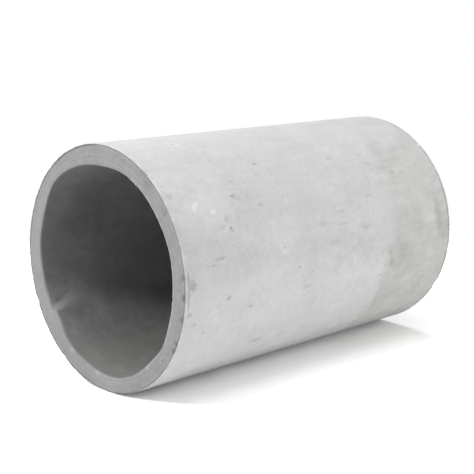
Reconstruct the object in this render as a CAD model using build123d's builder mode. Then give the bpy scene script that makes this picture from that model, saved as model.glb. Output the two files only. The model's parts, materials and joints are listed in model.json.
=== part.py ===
from build123d import *

# A concrete sewer pipe: one straight length with plain ends, cast in one piece.
# It lies on its side, as it is stacked in a yard. +X runs along the pipe and +Z
# is up. The origin is on the ground under the middle of the pipe's length.

import os

# Driving dimensions, in millimetres.
BORE_DIAMETER = 762.0       # the clear way through, nominally 30 inches
WALL_THICKNESS = 70.0       # nominally 2 3/4 inches, the same all round
PIPE_LENGTH = 1480.0        # from end face to end face
BARREL_ARRIS_RADIUS = 5.0   # worn corner between the barrel and an end face
BORE_ARRIS_RADIUS = 8.0     # softer corner between the bore and an end face

bore_radius = BORE_DIAMETER / 2
barrel_radius = bore_radius + WALL_THICKNESS

# The pipe touches the ground along its lowest line, so its axis lies one
# barrel radius up.
section_plane = Plane(
    origin=(0, 0, barrel_radius),
    x_dir=(1, 0, 0),
    z_dir=(0, -1, 0),
)
pipe_axis = Axis(section_plane.origin, section_plane.x_dir)

with BuildPart() as pipe:
    # The section through the wall, above the axis: a long rectangle whose outer
    # corners are the barrel's arrises and whose inner corners are the bore's.
    with BuildSketch(section_plane) as wall_section:
        with Locations((0, bore_radius)):
            Rectangle(PIPE_LENGTH, WALL_THICKNESS, align=(Align.CENTER, Align.MIN))
        corner_rows = wall_section.vertices().group_by(Axis.Y)
        fillet(corner_rows[-1], radius=BARREL_ARRIS_RADIUS)
        fillet(corner_rows[0], radius=BORE_ARRIS_RADIUS)
    revolve(axis=pipe_axis)

pipe.part.label = "pipe"

os.makedirs("parts", exist_ok=True)
export_step(pipe.part, "parts/pipe.step")
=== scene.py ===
# The looks of one concrete sewer pipe: its cast surface with the chips, pits and
# stains of the real one, and the plain pale studio that it is shown in.
import json
import math
import random

import bmesh
import bpy
from bpy.props import FloatProperty, FloatVectorProperty, IntProperty, PointerProperty
from mathutils import Matrix, Vector, noise
from mathutils.kdtree import KDTree


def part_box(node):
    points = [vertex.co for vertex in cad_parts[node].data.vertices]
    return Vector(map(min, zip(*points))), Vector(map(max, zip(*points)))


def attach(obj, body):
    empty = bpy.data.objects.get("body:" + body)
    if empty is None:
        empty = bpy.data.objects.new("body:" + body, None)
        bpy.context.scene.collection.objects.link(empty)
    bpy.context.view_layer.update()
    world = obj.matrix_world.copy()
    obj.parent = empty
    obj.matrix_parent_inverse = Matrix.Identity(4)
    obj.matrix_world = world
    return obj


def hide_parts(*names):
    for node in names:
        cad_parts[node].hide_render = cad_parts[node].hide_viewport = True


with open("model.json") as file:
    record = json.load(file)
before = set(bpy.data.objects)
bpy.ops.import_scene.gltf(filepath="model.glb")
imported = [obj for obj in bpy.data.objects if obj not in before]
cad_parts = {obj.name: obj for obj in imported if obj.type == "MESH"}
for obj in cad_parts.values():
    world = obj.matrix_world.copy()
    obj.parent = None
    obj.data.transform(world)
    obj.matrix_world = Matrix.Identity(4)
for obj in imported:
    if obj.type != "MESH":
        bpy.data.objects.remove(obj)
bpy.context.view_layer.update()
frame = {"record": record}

bl_info = {
    "name": "Concrete sewer pipe",
    "version": (1, 0, 0),
    "blender": (4, 5, 0),
    "location": "View3D > Sidebar > Sewer Pipe",
    "description": "Casts a weathered concrete pipe and sets the studio around it",
    "category": "Object",
}

# The pipe's own sizes, in metres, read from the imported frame. The near end is the
# one at -X, which the photograph looks into.
MOUNTS = {mount["name"]: mount for mount in frame["record"]["mounts"]}
PIPE_LOW, PIPE_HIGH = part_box("pipe")
PIPE_LENGTH = PIPE_HIGH.x - PIPE_LOW.x
HALF_LENGTH = PIPE_LENGTH / 2
AXIS_POINT = (PIPE_LOW + PIPE_HIGH) / 2
BARREL_RADIUS = min(PIPE_HIGH.y - PIPE_LOW.y, PIPE_HIGH.z - PIPE_LOW.z) / 2
BORE_RADIUS = MOUNTS["bore"]["dims"]["r_mm"] / 1000
WALL = BARREL_RADIUS - BORE_RADIUS
NEAR, FAR = -1, 1  # the two ends, by the sign of X

# The material slots of the pipe's mesh, in the order in which they are filled.
BARREL, END_FACE, BORE = range(3)

# Rows of faces round a worn corner, how strongly the other rows crowd towards the ends
# and the corners, and how far along X a face must point to belong to an end.
CORNER_ROWS = 4
CROWD_TO_ENDS = 0.9
CROWD_TO_CORNERS = 0.45
END_FACE_LEAN = 0.7

# Angles round the pipe are in degrees: 0 faces -Y, 90 is the top and 180 faces +Y.

# What the mould and the years left on the bore's rim at the near end. Each swell has
# its crest's angle, its width in degrees before and after the crest, and, in metres,
# how far it stands into the bore, how deep down the bore its crest lies, and how far
# it reaches from there. The one at 216 is the broken step at the lower left, and the
# one at 209 is its foot. Each fans out down the bore, by SWELL_FAN degrees a metre on
# either side.
RIM_SWELLS = (
    (90, 26, 26, 0.009, 0, 0.22),
    (134, 24, 24, -0.014, 0, 0.12),
    (193, 22, 22, 0.006, 0, 0.15),
    (209, 9, 8, 0.006, 0.020, 0.080),
    (216, 4, 24, 0.025, 0, 0.200),
    (284, 36, 36, -0.011, 0, 0.20),
    (326, 16, 16, -0.007, 0, 0.12),
    (17, 22, 22, -0.004, 0, 0.12),
)
SWELL_FAN = 80

# Chips out of the barrel's corner: end, middle angle, half width in degrees, and
# depth in metres.
BARREL_CHIPS = (
    (NEAR, 55.5, 3.5, 0.0035),
    (NEAR, 33, 4, 0.0025),
    (NEAR, 22, 4, 0.0035),
    (NEAR, 4, 5, 0.003),
    (NEAR, -12, 2.5, 0.0035),
    (NEAR, -25, 3.5, 0.002),
    (NEAR, -37, 5, 0.002),
    (NEAR, 205, 3, 0.0025),
    (FAR, -31, 4, 0.003),
    (FAR, 140, 4, 0.004),
)

# The shallow groove that the mould's end ring left in the barrel: how far it is from
# the near end, its half width, its half length in degrees about the side that faces
# -Y, and its depth.
GROOVE_FROM_END = 0.0165
GROOVE_HALF_WIDTH = 0.0055
GROOVE_HALF_ANGLE = 10
GROOVE_DEPTH = 0.003

# Air holes in the barrel that show in the photograph: distance from the near end
# in metres, angle, and radius in millimetres.
AIR_HOLES = (
    (0.496, 53, 3.5),
    (0.895, 52, 2.8),
    (0.302, 37, 3.5),
    (0.543, 34, 3.5),
    (0.414, 31.5, 2.8),
    (0.243, 23, 3.5),
    (0.133, 8.5, 2.2),
    (0.174, 11, 2.8),
    (0.482, 10, 4.2),
    (0.555, -0.5, 3.5),
    (0.627, -4.5, 2.8),
    (0.490, -6.5, 2.8),
    (0.603, -11, 2.2),
    (0.942, 11, 3.5),
    (0.962, 12.5, 2.8),
    (0.925, 12, 2.2),
    (1.037, -14.5, 3.5),
    (0.202, -7.5, 3.5),
    (0.231, -7.5, 2.2),
    (0.313, -14, 3.5),
    (0.107, -22, 3.5),
)

# More of them are scattered over the places that the photograph hides: their radii in
# millimetres, the barrel's hidden angles, and how far they keep from the corners.
HOLE_RADII = (2.2, 2.8, 3.5, 4.2)
HIDDEN_ANGLES = (95, 300)
BARREL_HOLES_FROM_END = 0.06
BORE_HOLES_FROM_END = 0.05
END_HOLES_FROM_BORE = 0.016
END_HOLES_FROM_BARREL = 0.014
HOLE_SEED = 11

# The shape of an air hole, as shares of its radius: the width of its wall, and the
# depths of its middle and of the rest of its floor.
HOLE_WALL = 0.4
HOLE_MIDDLE_DEPTH = 1.0
HOLE_FLOOR_DEPTH = 0.75
HOLE_OFF_ROW = 0.003  # how far a hole may be from the nearest vertex along the pipe

# The wear of an end, in metres: how far along the pipe it reaches, how uneven the flat
# is, how far the breaks of its two corners spread, and how much further they spread for
# each metre of their depth.
END_WEAR_REACH = 0.03
END_UNEVENNESS = 0.0005
BARREL_BREAK_REACH = 0.008
BORE_BREAK_REACH = 0.010
BREAK_SPREAD = 2.2
BARE_GAIN = 150  # how fast bare concrete shows as the skin breaks off, for each metre

# Dusty, dirty and rubbed marks on the barrel, and two long marks of painted light low
# on the side that faces -Y: distance from the near end, angle, half length and half
# width in metres, and how much lighter or darker. The edge of a short mark is crisp.
SHORT_MARK = 0.04
BARREL_MARKS = (
    (0.16, 32, 0.20, 0.13, 0.11),
    (0.16, 50, 0.18, 0.11, 0.06),
    (1.24, -26, 0.10, 0.08, 0.07),
    (1.33, 10, 0.06, 0.04, 0.10),
    (0.80, -42, 0.14, 0.05, -0.04),
    # The next two marks are painted light low on the side that faces -Y.
    (0.50, -46, 0.60, 0.11, 0.09),
    (1.20, -46, 0.36, 0.11, 0.11),
    (0.25, 5, 0.12, 0.06, -0.035),
    (1.00, 3, 0.20, 0.12, -0.05),
    (0.78, 4, 0.30, 0.13, -0.07),
    (1.15, -6, 0.12, 0.09, -0.08),
    (1.43, 6, 0.05, 0.12, -0.12),
    (1.185, 53, 0.06, 0.05, -0.08),
    (1.40, 12, 0.0286, 0.117, -0.136),
    (1.22, 44, 0.08, 0.009, -0.09),
    (1.15, 40, 0.10, 0.010, -0.09),
    (1.20, 34, 0.05, 0.009, -0.09),
    (1.18, 30.5, 0.07, 0.008, -0.08),
    (1.24, 38, 0.08, 0.016, 0.07),
    (1.13, 35, 0.07, 0.014, 0.07),
    (0.417, -36.5, 0.0442, 0.0156, -0.204),
    (0.557, -37.5, 0.042, 0.014, -0.10),
    (0.605, -11, 0.0468, 0.0156, -0.119),
    (0.615, -5.5, 0.045, 0.010, -0.05),
    (0.036, 2, 0.0208, 0.0286, -0.272),
    (0.170, 11, 0.0416, 0.0078, -0.17),
    (0.130, 8.5, 0.026, 0.0065, -0.136),
    (0.304, 37.5, 0.0182, 0.013, -0.221),
    (0.320, 36, 0.026, 0.0156, -0.119),
    (0.037, 42, 0.0208, 0.0156, -0.136),
    (0.247, 76, 0.0338, 0.0286, 0.119),
    (0.247, 76, 0.0156, 0.0078, -0.255),
    (0.498, 53, 0.0182, 0.0078, -0.204),
    (0.331, 45, 0.0182, 0.0052, -0.136),
    (0.414, 31, 0.0195, 0.0078, -0.153),
    (0.129, 36.5, 0.0182, 0.013, 0.17),
    (0.115, 35, 0.013, 0.013, 0.204),
    (0.188, 31.5, 0.0182, 0.013, 0.17),
    (0.235, 27.5, 0.013, 0.013, -0.153),
    (0.209, 24, 0.013, 0.0104, -0.136),
    (0.244, 22.5, 0.013, 0.013, -0.187),
    (0.286, 27, 0.013, 0.0104, -0.102),
    (0.482, 8.5, 0.0234, 0.0182, 0.102),
    (0.315, -13.5, 0.0182, 0.0078, -0.153),
    (0.206, -7, 0.0156, 0.0104, -0.153),
    (0.025, -11, 0.0156, 0.013, -0.238),
    (0.055, -16, 0.0156, 0.0104, -0.17),
    (0.700, 17.5, 0.0286, 0.0156, -0.102),
    (0.755, 16.5, 0.039, 0.0078, -0.102),
    (0.820, 15.5, 0.0468, 0.0078, -0.102),
    (0.813, 21.5, 0.0338, 0.0078, -0.102),
    (0.866, 25, 0.070, 0.005, -0.035),
    (0.757, 7.5, 0.039, 0.0156, -0.0765),
    (0.884, 50.5, 0.0182, 0.013, -0.136),
    (0.994, 27, 0.0286, 0.0104, -0.119),
    (1.194, 37, 0.0182, 0.013, -0.17),
    (1.073, 44, 0.0338, 0.013, -0.119),
    (1.067, 50, 0.0208, 0.0156, -0.102),
    (1.081, -3.5, 0.0208, 0.0182, -0.153),
    (1.099, -9, 0.0182, 0.026, -0.136),
    (0.940, 12, 0.045, 0.024, -0.05),
    (1.466, 51, 0.0104, 0.0117, 0.306),
)

# The same for the near end's face, as angle, distance from the axis, half width and
# how much lighter or darker.
END_MARKS = (
    (52, 0.432, 0.034, -0.15),
    (57, 0.446, 0.018, -0.14),
    (43, 0.420, 0.030, 0.07),
    (36, 0.430, 0.022, -0.12),
    (6, 0.443, 0.014, -0.30),
    (-3, 0.446, 0.020, -0.40),
    (-13, 0.447, 0.016, -0.35),
    (-25, 0.446, 0.016, -0.40),
    (-29, 0.444, 0.016, -0.40),
    (-38, 0.478, 0.045, 0.28),
    (122, 0.440, 0.012, -0.12),
    (236, 0.425, 0.016, -0.10),
    (272, 0.416, 0.140, 0.13),
    (240, 0.388, 0.018, 0.24),
    (264, 0.391, 0.020, 0.24),
    (309, 0.391, 0.018, 0.26),
    (331, 0.388, 0.016, 0.24),
)

# The same for the bore, as distance from the near end, angle, half length, half width
# and how much lighter or darker. The pale one at 215 degrees is painted light on the lit
# patch inside the mouth, the dark ones at 208 and 226 degrees further in are painted
# shadow, and the small dark one at 208 degrees by the rim is painted shade for a pit in
# the rim.
BORE_MARKS = (
    (0.09, 215, 0.20, 0.16, 0.32),
    (0.12, 152, 0.28, 0.28, -0.18),
    (0.035, 208.5, 0.016, 0.011, -0.50),
    (0.28, 208, 0.12, 0.06, -0.08),
    (0.52, 226, 0.20, 0.18, -0.20),
    (0.283, 170.5, 0.050, 0.018, -0.11),
    (0.358, 170, 0.040, 0.020, -0.13),
    (0.207, 177, 0.036, 0.020, 0.11),
    (0.195, 180.5, 0.028, 0.016, -0.13),
)

# How the edge of a mark is drawn, in half lengths of it: how ragged it is, where it
# ends, and where it has its full strength.
MARK_RAGGEDNESS = 1.1
MARK_END = 1.1
MARK_CORE = 0.2

# Heights above the pipe's axis, in metres, between which a stain or a painted shade comes
# up to its full strength: the damp band's top, its wetter part, the painted shade under
# the barrel, the silt in the bore, and the painted shade in the groove, which is the same
# above and below the axis.
DAMP_TOP_UP = (0.44, 0.30)
DAMP_WET_UP = (0.24, 0.02)
UNDERSIDE_SHADE_UP = (-0.415, -0.446)
SILT_UP = (-0.27, -0.35)
GROOVE_SHADE_UP = (0.080, 0.045)

# The edge of the damp band: how far it is from the pipe's middle, how much it leans
# with height, and how wide its blur is low down and how much wider high up.
DAMP_EDGE = 0.345
DAMP_LEAN = -0.16
DAMP_BLUR = 0.03
DAMP_BLUR_GAIN = 0.07

SHEEN = 0.2  # how glossy the concrete is under its roughness


class SewerPipeShape(bpy.types.PropertyGroup):
    """Sizes of the pipe's cast surface."""

    steps_around: IntProperty(
        name="Steps around",
        description="Faces in one turn round the pipe",
        default=512, min=48, max=512,
    )
    rows_along_barrel: IntProperty(
        name="Barrel rows",
        description="Rows of faces from end to end of the barrel",
        default=80, min=8, max=200,
    )
    rows_along_bore: IntProperty(
        name="Bore rows",
        description="Rows of faces from end to end of the bore",
        default=48, min=8, max=200,
    )
    rows_across_end: IntProperty(
        name="End rows",
        description="Rows of faces from the bore to the barrel on an end face",
        default=8, min=2, max=20,
    )
    barrel_arris: FloatProperty(
        name="Barrel corner",
        description="Radius of the worn corner between the barrel and an end",
        default=0.003, min=0.001, max=0.02, unit="LENGTH",
    )
    bore_arris: FloatProperty(
        name="Bore corner",
        description="Radius of the softer corner between the bore and an end",
        default=0.008, min=0.001, max=0.02, unit="LENGTH",
    )
    sway: FloatProperty(
        name="Surface sway",
        description="How far the cast surface wanders from a true cylinder",
        default=0.0012, min=0.0, max=0.005, unit="LENGTH",
    )
    ragged: FloatProperty(
        name="Ragged corners",
        description="How deep the small breaks along the corners are",
        default=0.0022, min=0.0, max=0.008, unit="LENGTH",
    )
    air_holes: IntProperty(
        name="Air holes",
        description="Small holes scattered over the sides that the photograph hides",
        default=90, min=0, max=400,
    )


class SewerPipeColours(bpy.types.PropertyGroup):
    """Colours of the concrete."""

    barrel: FloatVectorProperty(
        name="Barrel",
        description="Pale laitance on the outside of the pipe",
        default=(0.60, 0.60, 0.60), size=3, min=0.0, max=1.0, subtype="COLOR",
    )
    end_face: FloatVectorProperty(
        name="End faces",
        description="Bare grey concrete of the two end faces",
        default=(0.316, 0.316, 0.316), size=3, min=0.0, max=1.0, subtype="COLOR",
    )
    bore: FloatVectorProperty(
        name="Bore",
        description="Darker grey concrete inside the pipe",
        default=(0.238, 0.238, 0.237), size=3, min=0.0, max=1.0, subtype="COLOR",
    )
    damp: FloatVectorProperty(
        name="Damp stain",
        description="Faintly warm grey of the damp band at the far end",
        default=(0.512, 0.511, 0.497), size=3, min=0.0, max=1.0, subtype="COLOR",
    )
    silt: FloatVectorProperty(
        name="Silt",
        description="Grey dust along the bottom of the bore",
        default=(0.262, 0.260, 0.254), size=3, min=0.0, max=1.0, subtype="COLOR",
    )


class SewerPipeStudio(bpy.types.PropertyGroup):
    """The camera, the floor and the light."""

    lens: FloatProperty(
        name="Lens",
        description="Focal length on a 36 mm wide frame, in millimetres",
        default=84.95, min=20.0, max=300.0,
    )
    camera_place: FloatVectorProperty(
        name="Camera",
        description="Where the camera stands",
        default=(-3.102, -3.123, 1.355), size=3, subtype="XYZ", unit="LENGTH",
    )
    camera_turn: FloatProperty(
        name="Camera turn",
        description="How far the camera looks to the right of +Y",
        default=math.radians(44.2), subtype="ANGLE",
    )
    camera_dip: FloatProperty(
        name="Camera dip",
        description="How far the camera looks below the horizon",
        default=math.radians(11.41), subtype="ANGLE",
    )
    sky_level: FloatProperty(
        name="Sky level",
        description="Brightness of the even light from all round",
        default=0.30, min=0.0, max=2.0,
    )
    lamp_level: FloatProperty(
        name="Lamp level",
        description="Brightness of the soft lamps, as a share of their plain level",
        default=1.0, min=0.0, max=4.0,
    )
    floor_radius: FloatProperty(
        name="Floor radius",
        description="Radius of the round pale floor",
        default=4.0, min=1.0, max=20.0, unit="LENGTH",
    )


def angle_apart(a, b):
    """The smaller angle between two directions round the pipe, in degrees."""
    return abs((a - b + 180) % 360 - 180)


def hump(distance, half_width):
    """A smooth hump, 1 in the middle and 0 from half_width outwards."""
    if distance >= half_width:
        return 0.0
    return 0.5 + 0.5 * math.cos(math.pi * distance / half_width)


def swell_at(angle, crest, before, after):
    """A hump round the pipe that may rise on one side faster than it falls."""
    past_crest = (angle - crest + 180) % 360 < 180
    return hump(angle_apart(angle, crest), before if past_crest else after)


def crowd(value, low, high, pull):
    """Draw a value that lies evenly between low and high towards both of them."""
    if not low < value < high:
        return value
    share = (value - low) / (high - low)
    return low + (high - low) * (share - pull * math.sin(math.tau * share) / math.tau)


def around_pipe(place):
    """A place as its angle round the axis in degrees and its distance from the axis."""
    across = place.y - AXIS_POINT.y
    up = place.z - AXIS_POINT.z
    return math.degrees(math.atan2(up, -across)) % 360, math.hypot(across, up)


def on_pipe(from_near_end, angle, radius):
    """The place at a distance from the near end, an angle and a radius."""
    turn = math.radians(angle)
    return Vector((
        PIPE_LOW.x + from_near_end,
        AXIS_POINT.y - radius * math.cos(turn),
        AXIS_POINT.z + radius * math.sin(turn),
    ))


def section_through_wall(shape):
    """The wall's section above the axis, as a wire loop ready to be spun round."""
    section = bmesh.new()
    middle = AXIS_POINT.z + BORE_RADIUS + WALL / 2
    bmesh.ops.create_grid(section, x_segments=1, y_segments=1, size=0.5)
    bmesh.ops.scale(section, verts=section.verts, vec=(PIPE_LENGTH, WALL, 1))
    bmesh.ops.rotate(
        section, verts=section.verts, matrix=Matrix.Rotation(math.radians(90), 3, "X"),
    )
    bmesh.ops.translate(
        section, verts=section.verts, vec=(AXIS_POINT.x, AXIS_POINT.y, middle),
    )
    for is_outer, radius in ((True, shape.barrel_arris), (False, shape.bore_arris)):
        corners = [v for v in section.verts if (v.co.z > middle) == is_outer]
        bmesh.ops.bevel(
            section, geom=corners, affect="VERTICES", offset=radius,
            segments=CORNER_ROWS, profile=0.5, material=-1, offset_type="OFFSET",
        )
    bmesh.ops.delete(section, geom=section.faces[:], context="FACES_ONLY")
    long_edges = sorted(
        (e for e in section.edges if e.calc_length() > HALF_LENGTH),
        key=lambda e: e.verts[0].co.z,
    )
    end_edges = [
        e for e in section.edges if WALL / 2 < e.calc_length() < HALF_LENGTH
    ]
    for edges, rows in (
        (long_edges[:1], shape.rows_along_bore),
        (long_edges[1:], shape.rows_along_barrel),
        (end_edges, shape.rows_across_end),
    ):
        bmesh.ops.subdivide_edges(section, edges=edges, cuts=rows - 1)
    for vert in section.verts:
        arris = shape.barrel_arris if vert.co.z > middle else shape.bore_arris
        vert.co.x = crowd(
            vert.co.x, PIPE_LOW.x + arris, PIPE_HIGH.x - arris, CROWD_TO_ENDS,
        )
        vert.co.z = crowd(
            vert.co.z, AXIS_POINT.z + BORE_RADIUS + shape.bore_arris,
            AXIS_POINT.z + BARREL_RADIUS - shape.barrel_arris, CROWD_TO_CORNERS,
        )
    return section


def spin_section(shape):
    """The true pipe: the wall's section spun round the axis, its faces sorted."""
    pipe = section_through_wall(shape)
    bmesh.ops.spin(
        pipe, geom=pipe.verts[:] + pipe.edges[:], cent=AXIS_POINT, axis=(1, 0, 0),
        dvec=(0, 0, 0), angle=math.tau, steps=shape.steps_around, use_merge=True,
    )
    bmesh.ops.recalc_face_normals(pipe, faces=pipe.faces[:])
    for face in pipe.faces:
        face.smooth = True
        face.material_index = BARREL
        if abs(face.normal.x) > END_FACE_LEAN:
            face.material_index = END_FACE
        elif around_pipe(face.calc_center_median())[1] < BORE_RADIUS + WALL / 2:
            face.material_index = BORE
    return pipe


def air_hole_places(shape):
    """Where the air holes are, as (place, radius in metres).

    The scattered ones lie on the barrel, then on the ends, then in the bore.
    """
    places = [
        (on_pipe(from_end, angle, BARREL_RADIUS), millimetres / 1000)
        for from_end, angle, millimetres in AIR_HOLES
    ]
    draw = random.Random(HOLE_SEED)
    for _ in range(shape.air_holes):
        from_end = draw.uniform(
            BARREL_HOLES_FROM_END, PIPE_LENGTH - BARREL_HOLES_FROM_END,
        )
        place = on_pipe(from_end, draw.uniform(*HIDDEN_ANGLES), BARREL_RADIUS)
        places.append((place, draw.choice(HOLE_RADII) / 1000))
    for _ in range(shape.air_holes // 4):
        from_end = draw.choice((0, PIPE_LENGTH))
        from_axis = draw.uniform(
            BORE_RADIUS + END_HOLES_FROM_BORE, BARREL_RADIUS - END_HOLES_FROM_BARREL,
        )
        place = on_pipe(from_end, draw.uniform(0, 360), from_axis)
        places.append((place, draw.choice(HOLE_RADII[:2]) / 1000))
    for _ in range(shape.air_holes // 3):
        from_end = draw.uniform(BORE_HOLES_FROM_END, PIPE_LENGTH - BORE_HOLES_FROM_END)
        place = on_pipe(from_end, draw.uniform(0, 360), BORE_RADIUS)
        places.append((place, draw.choice(HOLE_RADII) / 1000))
    return places


def vertices_for_air_holes(pipe, shape):
    """The vertices where the air holes are opened, sorted by the holes' radii."""
    tree = KDTree(len(pipe.verts))
    for number, vert in enumerate(pipe.verts):
        tree.insert(vert.co, number)
    tree.balance()
    pipe.verts.ensure_lookup_table()
    by_radius = {}
    taken = set()
    for place, radius in air_hole_places(shape):
        vert = pipe.verts[tree.find(place)[1]]
        neighbours = {edge.other_vert(vert) for edge in vert.link_edges}
        if vert in taken or taken & neighbours:
            continue
        taken.add(vert)
        by_radius.setdefault(radius, []).append(vert)
        if abs(place.x - vert.co.x) > HOLE_OFF_ROW:
            vert.co.x = place.x
    return by_radius


def nearest_seat(seats, place):
    """The seat, a centre and the way out from it, that is nearest to a place."""
    return min(seats, key=lambda seat: (place - seat[0]).length)


def sink_air_holes(pipe, shape):
    """Open one vertex into an octagon for each air hole, and push it into the wall."""
    # The floors of the air holes are marked, for the finishes to darken them with dust
    # and painted shade.
    hole = pipe.verts.layers.float.new("hole")
    pipe.normal_update()
    for radius, verts in vertices_for_air_holes(pipe, shape).items():
        close = radius / 10
        seats = [(vert.co.copy(), vert.normal.copy()) for vert in verts]
        opened = bmesh.ops.bevel(
            pipe, geom=verts, affect="VERTICES", offset=radius, segments=2,
            profile=0.5, material=-1, offset_type="OFFSET", clamp_overlap=True,
        )
        for vert in opened["verts"]:
            centre = nearest_seat(seats, vert.co)[0]
            spread = vert.co - centre
            if spread.length > close:
                vert.co = centre + spread.normalized() * radius
        walls = bmesh.ops.inset_region(
            pipe, faces=opened["faces"], thickness=radius * HOLE_WALL, depth=0,
            use_even_offset=True,
        )
        inside = set(opened["faces"] + walls["faces"])
        for edge in {e for face in inside for e in face.edges}:
            edge.smooth = inside.issuperset(edge.link_faces)
        for vert in {v for face in opened["faces"] for v in face.verts}:
            centre, outwards = nearest_seat(seats, vert.co)
            is_middle = (vert.co - centre).length < close
            depth = HOLE_MIDDLE_DEPTH if is_middle else HOLE_FLOOR_DEPTH
            vert.co -= outwards * radius * depth
            vert[hole] = 1.0


def sort_by_vertices(pipe):
    """Put the edges and faces in an order that is the same each time."""
    pipe.verts.index_update()
    for elements in (pipe.edges, pipe.faces):
        numbers = {item: sorted(vert.index for vert in item.verts) for item in elements}
        ranks = {item: n for n, item in enumerate(sorted(numbers, key=numbers.get))}
        elements.sort(key=ranks.get)


def groove_depth(angle, from_end):
    """How deep the mould's groove is at a place on the barrel near the near end."""
    across = hump(abs(from_end - GROOVE_FROM_END), GROOVE_HALF_WIDTH)
    return GROOVE_DEPTH * across * hump(angle_apart(angle, 0), GROOVE_HALF_ANGLE) ** 0.3


def rim_swell(angle, from_end):
    """How far the wall stands into the bore at a place near the near end."""
    fan = SWELL_FAN * from_end
    return sum(
        stand * swell_at(angle, crest, before + fan, after + fan)
        * hump(abs(from_end - depth), reach)
        for crest, before, after, stand, depth, reach in RIM_SWELLS
    )


def corner_breaks(end, angle, shape):
    """How deep an end's barrel corner and bore corner are broken at an angle.

    The two ends lie well apart in the noise, so that no two corners are alike.
    """
    turn = math.radians(angle)
    ring = Vector((math.cos(turn), math.sin(turn), end * 2.5))
    coarse, softer, fine, finest = (noise.noise(ring * n) for n in (9, 14, 34, 70))
    at_barrel = shape.ragged * max(0.0, 0.1 + 0.7 * coarse + 0.6 * fine + 0.4 * finest)
    at_bore = shape.ragged * max(0.0, 0.15 + 0.6 * softer + 0.4 * fine)
    crumble = max(0.0, 0.75 + 0.9 * fine + 0.7 * finest)
    for chip_end, middle, half_width, depth in BARREL_CHIPS:
        if chip_end == end:
            at_barrel += depth * crumble * hump(angle_apart(angle, middle), half_width)
    return at_barrel, at_bore


def wear_pipe(pipe, shape):
    """Move every point of the true pipe to where it lies on the weathered one."""
    bare = pipe.verts.layers.float.new("bare")
    for vert in pipe.verts:
        angle, radius = around_pipe(vert.co)
        end = FAR if vert.co.x > AXIS_POINT.x else NEAR
        from_end = HALF_LENGTH - abs(vert.co.x - AXIS_POINT.x)
        through = min(1.0, max(0.0, (radius - BORE_RADIUS) / WALL))
        place = vert.co - AXIS_POINT

        sway = noise.noise(place * 2.6) * 0.6 + noise.noise(place * 9) * 0.4
        barrel_in = 0.5 * shape.sway * (0.5 + 0.5 * sway)
        bore_out = 2 * shape.sway * sway
        if end == NEAR:
            barrel_in += groove_depth(angle, from_end)
            bore_out -= rim_swell(angle, from_end)
        outwards = bore_out * (1 - through) ** 2 - barrel_in * through
        inwards = 0.0
        if from_end < END_WEAR_REACH:
            uneven = END_UNEVENNESS * (1 + noise.noise(place * 24))
            inwards = uneven * hump(from_end, END_WEAR_REACH)
            barrel_break, bore_break = corner_breaks(end, angle, shape)
            barrel_break *= hump(
                math.hypot(from_end, BARREL_RADIUS - radius),
                BARREL_BREAK_REACH + BREAK_SPREAD * barrel_break,
            )
            bore_break *= hump(
                math.hypot(from_end, radius - BORE_RADIUS),
                BORE_BREAK_REACH + BREAK_SPREAD * bore_break,
            )
            inwards += barrel_break + bore_break
            outwards += bore_break - barrel_break
            vert[bare] = min(1.0, BARE_GAIN * barrel_break)
        scale = (radius + outwards) / radius
        vert.co.x -= end * inwards
        vert.co.y = AXIS_POINT.y + (vert.co.y - AXIS_POINT.y) * scale
        vert.co.z = AXIS_POINT.z + (vert.co.z - AXIS_POINT.z) * scale


class ShaderTree:
    """A tree of shader nodes that is built up in short steps."""

    def __init__(self, tree):
        self.tree = tree

    def node(self, kind, *inputs, **settings):
        """Add a node, set it up and feed its first inputs with links or values."""
        node = self.tree.nodes.new(kind)
        for key, value in settings.items():
            setattr(node, key, value)
        for socket, value in zip(node.inputs, inputs):
            self.feed(socket, value)
        return node

    def feed(self, socket, value):
        """Link a socket to another, set it to a value, or leave it if that is None."""
        if isinstance(value, bpy.types.NodeSocket):
            self.tree.links.new(value, socket)
        elif value is not None:
            socket.default_value = value

    def math(self, operation, *inputs):
        """The result of one step of arithmetic."""
        return self.node("ShaderNodeMath", *inputs, operation=operation).outputs[0]

    def both(self, first, second):
        """Two masks multiplied: 1 only where both are."""
        return self.math("MULTIPLY", first, second)

    def shifted(self, value, by, share):
        """A value with a share of another one added."""
        return self.math("MULTIPLY_ADD", by, share, value)

    def length(self, vector):
        """How long a vector is."""
        node = self.node("ShaderNodeVectorMath", vector, operation="LENGTH")
        return node.outputs["Value"]

    def mask(self, value, low, high):
        """0 where value is at low, 1 where it is at high, and smooth between."""
        return self.node(
            "ShaderNodeMapRange", value, low, high, 0.0, 1.0,
            interpolation_type="SMOOTHSTEP",
        ).outputs[0]

    def mix(self, factor, first, second):
        """One colour turning into another."""
        mix = self.node("ShaderNodeMix", data_type="RGBA")
        self.feed(mix.inputs[0], factor)
        self.feed(mix.inputs[6], first)
        self.feed(mix.inputs[7], second)
        return mix.outputs[2]

    def seen_directly(self):
        """1 for the rays that show a background: camera, glossy and transmission."""
        path = self.node("ShaderNodeLightPath")
        seen = path.outputs["Is Camera Ray"]
        for kind in ("Is Glossy Ray", "Is Transmission Ray"):
            seen = self.math("MAXIMUM", seen, path.outputs[kind])
        return seen


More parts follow.
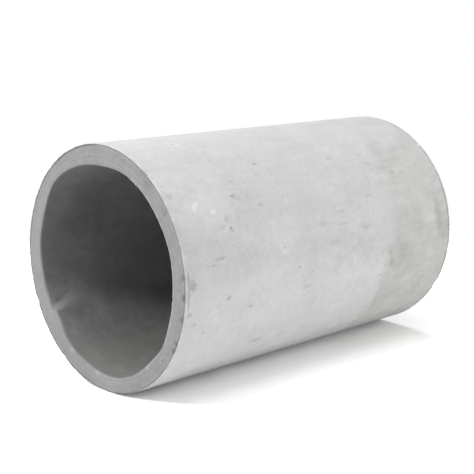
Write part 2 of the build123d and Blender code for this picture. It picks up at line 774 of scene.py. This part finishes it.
class Finish(ShaderTree):
    """One concrete finish. Its places are measured from the pipe's middle."""

    def __init__(self, name):
        self.material = bpy.data.materials.new(name)
        self.material.use_nodes = True
        super().__init__(self.material.node_tree)
        self.shader = self.tree.nodes["Principled BSDF"]
        self.shader.inputs["Specular IOR Level"].default_value = SHEEN
        coordinates = self.node("ShaderNodeTexCoord").outputs["Object"]
        self.place = self.mapped(coordinates, -AXIS_POINT)
        self.along, self.across, self.up = self.node(
            "ShaderNodeSeparateXYZ", self.place,
        ).outputs
        self.soft_edge = self.noise(26, 3)
        self.crisp_edge = self.noise(110, 2)

    def mapped(self, place, shift, stretch=(1, 1, 1)):
        """A place stretched and then shifted."""
        return self.node("ShaderNodeMapping", place, shift, None, stretch).outputs[0]

    def noise(self, scale, detail=2.0, stretch=(1, 1, 1), shift=(0, 0, 0), wobble=0.0):
        """Cloudy noise round 0, from about -0.5 to 0.5, at scale cells a metre."""
        cloud = self.node("ShaderNodeTexNoise", self.mapped(self.place, shift, stretch))
        cloud.inputs["Scale"].default_value = scale
        cloud.inputs["Detail"].default_value = detail
        cloud.inputs["Distortion"].default_value = wobble
        return self.math("SUBTRACT", cloud.outputs[0], 0.5)

    def specks(self, scale, size, share, shift):
        """Round specks: 1 inside them, in a share of the cells of a scattered grid."""
        cells = self.node("ShaderNodeTexVoronoi", self.mapped(self.place, shift))
        cells.inputs["Scale"].default_value = scale
        near = self.mask(cells.outputs["Distance"], size, size * 0.5)
        pick = self.node("ShaderNodeSeparateColor", cells.outputs["Color"]).outputs[0]
        return self.both(near, self.mask(pick, 1 - share, 1.02 - share))

    def add_mark(self, tone, centre, half_length, half_width, strength):
        """The tone with one soft ragged mark, lighter or darker than the rest."""
        size = (1 / half_length, 1 / half_width, 1 / half_width)
        shift = [-c * s for c, s in zip(centre - AXIS_POINT, size)]
        reach = self.length(self.mapped(self.place, shift, size))
        ragged = self.soft_edge if half_length > SHORT_MARK else self.crisp_edge
        edge = self.shifted(reach, ragged, MARK_RAGGEDNESS)
        return self.shifted(tone, self.mask(edge, MARK_END, MARK_CORE), strength)

    def total(self, start, *terms):
        """The sum of a start and of (socket, factor) terms."""
        for socket, factor in terms:
            start = self.shifted(start, socket, factor)
        return start

    def attribute(self, name):
        """A value that the mesh's own vertices carry."""
        return self.node("ShaderNodeAttribute", attribute_name=name).outputs["Fac"]

    def paint(self, colour, tone):
        """The colour, made lighter or darker by the tone."""
        scaled = self.node("ShaderNodeVectorMath", colour, operation="SCALE")
        self.feed(scaled.inputs["Scale"], tone)
        self.feed(self.shader.inputs["Base Color"], scaled.outputs[0])

    def roughen(self, level, cloud, share):
        """Roughness at a level, with a share of a cloud added."""
        self.feed(self.shader.inputs["Roughness"], self.shifted(level, cloud, share))

    def relief(self, *heights):
        """Bump from (socket, metres) heights."""
        bump = self.node("ShaderNodeBump")
        bump.inputs["Distance"].default_value = 1.0
        self.feed(bump.inputs["Height"], self.total(0.0, *heights))
        self.feed(self.shader.inputs["Normal"], bump.outputs[0])


def rgba(colour, share=1.0):
    """A property's colour as a shader wants it, as a share of its lightness."""
    return (*(channel * share for channel in colour), 1.0)


def painted_groove_shade(finish):
    """Where painted shade darkens the groove near the near end, on the side that faces
    -Y.
    """
    from_middle = finish.math("SUBTRACT", finish.along, -HALF_LENGTH + GROOVE_FROM_END)
    groove = finish.both(
        finish.mask(
            finish.math("ABSOLUTE", from_middle), GROOVE_HALF_WIDTH,
            GROOVE_HALF_WIDTH * 0.3,
        ),
        finish.mask(finish.math("ABSOLUTE", finish.up), *GROOVE_SHADE_UP),
    )
    return finish.both(groove, finish.mask(finish.across, 0.0, -0.1))


def damp_band(finish, blotches, mottle):
    """Where the far end is damp: low down, past a slanted edge with a soft blur."""
    wander = finish.total(
        finish.along, (blotches, 0.18), (mottle, 0.08), (finish.up, DAMP_LEAN),
    )
    blur = finish.shifted(DAMP_BLUR, finish.mask(finish.up, -0.10, 0.15), DAMP_BLUR_GAIN)
    past_edge = finish.math("DIVIDE", finish.math("SUBTRACT", wander, DAMP_EDGE), blur)
    height = finish.shifted(finish.up, blotches, 0.3)
    wetness = finish.shifted(0.6, finish.mask(height, *DAMP_WET_UP), 0.5)
    wetness = finish.both(finish.mask(height, *DAMP_TOP_UP), wetness)
    return finish.both(finish.mask(past_edge, -1.0, 1.0), wetness)


def barrel_finish(colours):
    """Pale laitance with clouds, small marks and a damp far end, with painted shade
    underneath, in the groove and along the corners, and painted light on the lip and low
    on the side that faces -Y.
    """
    finish = Finish("barrel_concrete")
    clouds = finish.noise(2.2, 3, wobble=0.4)
    blotches = finish.noise(9, 4, shift=(3, 1, 5), wobble=0.6)
    mottle = finish.noise(34, 4, shift=(7, 2, 1))
    flecks = finish.noise(90, 3, shift=(1, 8, 3), wobble=0.5)
    grain = finish.noise(240, 3)
    drags = finish.noise(24, 3, stretch=(0.16, 1, 1), shift=(0, 4, 2))
    pale_specks = finish.specks(42, 0.16, 0.22, (1.3, 0.4, 0.7))
    dark_specks = finish.both(
        finish.specks(46, 0.17, 0.34, (0.2, 2.4, 1.7)),
        finish.mask(finish.noise(5, 3, shift=(6, 6, 6)), -0.02, 0.10),
    )

    # A painted highlight on the lip between the near end and the groove.
    lip_highlight = finish.both(
        finish.mask(finish.along, -HALF_LENGTH + 0.013, -HALF_LENGTH + 0.007),
        finish.mask(mottle, -0.06, 0.08),
    )
    # Painted shade along the near end's corner, mostly on the side that faces +Y.
    near_corner_shade = finish.both(
        finish.mask(finish.along, -HALF_LENGTH + 0.007, -HALF_LENGTH + 0.004),
        finish.mask(finish.across, -0.10, 0.05),
    )
    # Patchy painted shade along the far end's corner.
    far_corner_shade = finish.both(
        finish.mask(finish.along, HALF_LENGTH - 0.020, HALF_LENGTH - 0.008),
        finish.mask(mottle, -0.14, 0.02),
    )
    damp = damp_band(finish, blotches, mottle)
    damp_streaks = finish.noise(40, 4, stretch=(0.3, 1, 1), shift=(2, 2, 2), wobble=0.8)
    damp_clouds = finish.noise(14, 3, shift=(9, 2, 7), wobble=0.5)
    worn = finish.mask(finish.shifted(finish.attribute("bare"), mottle, 0.9), 0.34, 0.6)
    # Painted shade low under the barrel, in the end faces' grey.
    underside_shade = finish.mask(finish.shifted(finish.up, blotches, 0.05), *UNDERSIDE_SHADE_UP)

    skin = finish.mix(damp, rgba(colours.barrel), rgba(colours.damp))
    skin = finish.mix(worn, skin, rgba(colours.end_face, 1.25))
    skin = finish.mix(underside_shade, skin, rgba(colours.end_face))
    # In this sum the air holes are darkened by dust and painted shade.
    tone = finish.total(
        1.0, (clouds, 0.16), (blotches, 0.16), (mottle, 0.17), (flecks, 0.16),
        (grain, 0.25), (drags, 0.10), (pale_specks, 0.05), (dark_specks, -0.10),
        (finish.attribute("hole"), -0.45), (lip_highlight, 0.12), (painted_groove_shade(finish), -0.26),
        (near_corner_shade, -0.45), (far_corner_shade, -0.30), (finish.both(damp, damp_streaks), 0.22),
        (finish.both(damp, damp_clouds), 0.18),
    )
    for from_end, angle, half_length, half_width, strength in BARREL_MARKS:
        place = on_pipe(from_end, angle, BARREL_RADIUS)
        tone = finish.add_mark(tone, place, half_length, half_width, strength)
    finish.paint(skin, tone)
    finish.roughen(0.86, mottle, 0.25)
    finish.relief(
        (blotches, 0.004), (mottle, 0.0014), (flecks, 0.0006), (grain, 0.0004),
        (drags, 0.0008), (dark_specks, -0.0012),
    )
    return finish.material


def end_face_finish(colours):
    """Bare grey concrete with its sand, faint rings, a worn inner edge and painted shade
    along its outer corner.
    """
    finish = Finish("end_face_concrete")
    blotches = finish.noise(11, 4, wobble=0.5)
    mottle = finish.noise(48, 4, shift=(4, 1, 2))
    grain = finish.noise(260, 3)
    pale_specks = finish.specks(60, 0.20, 0.25, (1.1, 0.6, 0.2))
    dark_specks = finish.specks(48, 0.16, 0.22, (0.7, 1.4, 2.2))
    flat = finish.node("ShaderNodeCombineXYZ", 0.0, finish.across, finish.up).outputs[0]
    reach = finish.length(flat)
    rings = finish.node("ShaderNodeTexNoise", noise_dimensions="1D")
    finish.feed(rings.inputs["W"], finish.shifted(reach, blotches, 0.010))
    rings.inputs["Scale"].default_value = 130
    ring_marks = finish.math("SUBTRACT", rings.outputs[0], 0.5)
    inner_edge = finish.both(
        finish.mask(
            finish.shifted(reach, mottle, 0.004),
            BORE_RADIUS + 0.014, BORE_RADIUS + 0.008,
        ),
        finish.mask(finish.shifted(mottle, finish.across, -0.7), 0.12, 0.24),
    )
    # Painted shade along the outer corner all round, and more of it on the side that
    # faces +Y.
    outer_edge_shade = finish.mask(
        finish.shifted(reach, mottle, 0.016),
        BARREL_RADIUS - 0.007, BARREL_RADIUS - 0.003,
    )
    rim_shade = finish.both(
        finish.mask(reach, BARREL_RADIUS - 0.013, BARREL_RADIUS - 0.006),
        finish.mask(finish.across, -0.05, 0.15),
    )
    # The air holes are darkened by dust and painted shade.
    tone = finish.total(
        1.0, (blotches, 0.20), (mottle, 0.30), (grain, 0.34), (ring_marks, 0.26),
        (pale_specks, 0.12), (dark_specks, -0.16), (inner_edge, 0.30),
        (outer_edge_shade, -0.24), (rim_shade, -0.40), (finish.attribute("hole"), -0.35),
    )
    for angle, from_axis, half_width, strength in END_MARKS:
        place = on_pipe(0, angle, from_axis)
        tone = finish.add_mark(tone, place, half_width, half_width, strength)
    finish.paint(tuple(colours.end_face), tone)
    finish.roughen(0.9, mottle, 0.2)
    finish.relief(
        (blotches, 0.003), (mottle, 0.0016), (grain, 0.0005), (ring_marks, 0.0006),
        (dark_specks, -0.001),
    )
    return finish.material


def bore_finish(colours):
    """Darker concrete with clouds, drag marks, silt along the bottom, and painted light
    and shadow near the mouth.
    """
    finish = Finish("bore_concrete")
    clouds = finish.noise(4, 3, wobble=0.5)
    blotches = finish.noise(14, 4, shift=(1, 6, 2), wobble=0.5)
    mottle = finish.noise(50, 4, shift=(5, 5, 1))
    grain = finish.noise(240, 3)
    drags = finish.noise(20, 3, stretch=(0.2, 1, 1), shift=(0, 3, 9))
    silt = finish.mask(finish.shifted(finish.up, clouds, 0.14), *SILT_UP)
    skin = finish.mix(silt, rgba(colours.bore), rgba(colours.silt))
    # The air holes are darkened by dust and painted shade.
    tone = finish.total(
        1.0, (clouds, 0.30), (blotches, 0.32), (mottle, 0.20), (grain, 0.15),
        (drags, 0.18), (finish.attribute("hole"), -0.4),
    )
    for from_end, angle, half_length, half_width, strength in BORE_MARKS:
        place = on_pipe(from_end, angle, BORE_RADIUS)
        tone = finish.add_mark(tone, place, half_length, half_width, strength)
    finish.paint(skin, tone)
    finish.roughen(0.84, mottle, 0.3)
    finish.relief((blotches, 0.004), (mottle, 0.0014), (grain, 0.0004), (drags, 0.001))
    return finish.material


class SEWER_PIPE_OT_cast(bpy.types.Operator):
    """Cast the pipe's detailed surface in place of the plain solid"""

    bl_idname = "sewer_pipe.cast"
    bl_label = "Cast the Pipe"

    def execute(self, context):
        shape = context.scene.sewer_pipe_shape
        colours = context.scene.sewer_pipe_colours
        pipe = spin_section(shape)
        sink_air_holes(pipe, shape)
        sort_by_vertices(pipe)
        wear_pipe(pipe, shape)
        mesh = bpy.data.meshes.new("cast_pipe")
        pipe.to_mesh(mesh)
        pipe.free()
        for finish in (barrel_finish, end_face_finish, bore_finish):
            mesh.materials.append(finish(colours))
        piece = bpy.data.objects.new("cast_pipe", mesh)
        context.scene.collection.objects.link(piece)
        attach(piece, "root")
        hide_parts("pipe")
        return {"FINISHED"}


# The soft lamps: name, place, width of the square, and watts. One hangs over the pipe,
# one shines into the near end's mouth, three stand on the side that faces -Y, and one
# lights the back.
LAMPS = (
    ("overhead_lamp", (0, 0, 5), 5.0, 145),
    ("mouth_lamp", (-5, 1.2, 3.6), 0.8, 182),
    ("front_lamp", (-2, -5, 2.6), 2.5, 30),
    ("side_lamp", (3, -4, 0.4), 1.2, 60),
    ("low_lamp", (0.3, -2.2, 0.10), 0.4, 6),
    ("back_lamp", (1.5, 4.5, 3), 3.0, 34),
)
LAMPS_LOOK_AT = Vector((0, 0, 0.45))

# The floor's colour as it lights the pipe and as the camera sees it, how far out it
# fades to plain white, as shares of its radius, and the sides of its rim.
FLOOR_IN_LIGHT = (0.93, 0.93, 0.93, 1)
FLOOR_IN_PICTURE = (1.6, 1.6, 1.6, 1)
FLOOR_FADE = (0.35, 0.7)
FLOOR_SIDES = 96


def hang_lamps(scene, level):
    """Hang the soft square lamps, each looking at the pipe's middle."""
    for name, place, width, watts in LAMPS:
        light = bpy.data.lights.new(name, "AREA")
        light.shape = "SQUARE"
        light.size = width
        light.energy = watts * level
        lamp = bpy.data.objects.new(name, light)
        lamp.location = place
        turn = (Vector(place) - LAMPS_LOOK_AT).to_track_quat("Z", "Y")
        lamp.rotation_euler = turn.to_euler()
        lamp.visible_camera = False
        scene.collection.objects.link(lamp)


def light_sky(scene, level):
    """An even sky that looks white and lights the pipe at its own level."""
    world = bpy.data.worlds.new("studio")
    world.use_nodes = True
    nodes = ShaderTree(world.node_tree)
    background = nodes.tree.nodes["Background"]
    background.inputs["Color"].default_value = (1, 1, 1, 1)
    strength = nodes.node("ShaderNodeMapRange", nodes.seen_directly(), 0, 1, level, 1)
    nodes.feed(background.inputs["Strength"], strength.outputs[0])
    scene.world = world


def floor_finish(radius):
    """Pale matt floor that fades to plain white away from the pipe's shadow."""
    material = bpy.data.materials.new("pale_floor")
    material.use_nodes = True
    nodes = ShaderTree(material.node_tree)
    nodes.tree.nodes.clear()
    camera_ray = nodes.node("ShaderNodeLightPath").outputs["Is Camera Ray"]
    colour = nodes.mix(camera_ray, FLOOR_IN_LIGHT, FLOOR_IN_PICTURE)
    matt = nodes.node("ShaderNodeBsdfDiffuse", colour)
    white = nodes.node("ShaderNodeEmission")
    place = nodes.node("ShaderNodeTexCoord").outputs["Object"]
    fade_start, fade_end = (radius * share for share in FLOOR_FADE)
    fade = nodes.mask(nodes.length(place), fade_start, fade_end)
    share = nodes.both(fade, nodes.seen_directly())
    mix = nodes.node("ShaderNodeMixShader", share, matt.outputs[0], white.outputs[0])
    nodes.node("ShaderNodeOutputMaterial", mix.outputs[0])
    return material


def lay_floor(scene, radius):
    """A round floor under the pipe."""
    disc = bmesh.new()
    bmesh.ops.create_circle(disc, cap_ends=True, segments=FLOOR_SIDES, radius=radius)
    mesh = bpy.data.meshes.new("floor")
    disc.to_mesh(mesh)
    disc.free()
    mesh.materials.append(floor_finish(radius))
    floor = bpy.data.objects.new("floor", mesh)
    scene.collection.objects.link(floor)


def stand_camera(scene, studio):
    """The camera, where the photograph was taken from."""
    camera_data = bpy.data.cameras.new("camera")
    camera_data.lens = studio.lens
    camera = bpy.data.objects.new("camera", camera_data)
    camera.location = studio.camera_place
    camera.rotation_euler = (math.radians(90) - studio.camera_dip, 0, -studio.camera_turn)
    scene.collection.objects.link(camera)
    scene.camera = camera


class SEWER_PIPE_OT_studio(bpy.types.Operator):
    """Stand the camera where the photograph was taken, and light a pale floor"""

    bl_idname = "sewer_pipe.studio"
    bl_label = "Set the Studio"

    def execute(self, context):
        studio = context.scene.sewer_pipe_studio
        stand_camera(context.scene, studio)
        lay_floor(context.scene, studio.floor_radius)
        light_sky(context.scene, studio.sky_level)
        hang_lamps(context.scene, studio.lamp_level)
        context.scene.view_settings.view_transform = "Standard"
        return {"FINISHED"}


class SEWER_PIPE_PT_panel(bpy.types.Panel):
    """The pipe's sizes and colours, its studio and the steps that make them"""

    bl_idname = "SEWER_PIPE_PT_panel"
    bl_label = "Sewer Pipe"
    bl_space_type = "VIEW_3D"
    bl_region_type = "UI"
    bl_category = "Sewer Pipe"

    def draw(self, context):
        scene = context.scene
        for operator, groups in (
            (SEWER_PIPE_OT_cast, (scene.sewer_pipe_shape, scene.sewer_pipe_colours)),
            (SEWER_PIPE_OT_studio, (scene.sewer_pipe_studio,)),
        ):
            box = self.layout.box()
            for group in groups:
                for setting in group.bl_rna.properties:
                    if setting.identifier not in ("rna_type", "name"):
                        box.prop(group, setting.identifier)
            box.operator(operator.bl_idname)


CLASSES = (
    SewerPipeShape,
    SewerPipeColours,
    SewerPipeStudio,
    SEWER_PIPE_OT_cast,
    SEWER_PIPE_OT_studio,
    SEWER_PIPE_PT_panel,
)


def register():
    for cls in CLASSES:
        bpy.utils.register_class(cls)
    bpy.types.Scene.sewer_pipe_shape = PointerProperty(type=SewerPipeShape)
    bpy.types.Scene.sewer_pipe_colours = PointerProperty(type=SewerPipeColours)
    bpy.types.Scene.sewer_pipe_studio = PointerProperty(type=SewerPipeStudio)


def unregister():
    del bpy.types.Scene.sewer_pipe_studio
    del bpy.types.Scene.sewer_pipe_colours
    del bpy.types.Scene.sewer_pipe_shape
    for cls in reversed(CLASSES):
        bpy.utils.unregister_class(cls)


def main():
    register()
    bpy.ops.sewer_pipe.cast()
    bpy.ops.sewer_pipe.studio()


if __name__ == "__main__":
    main()
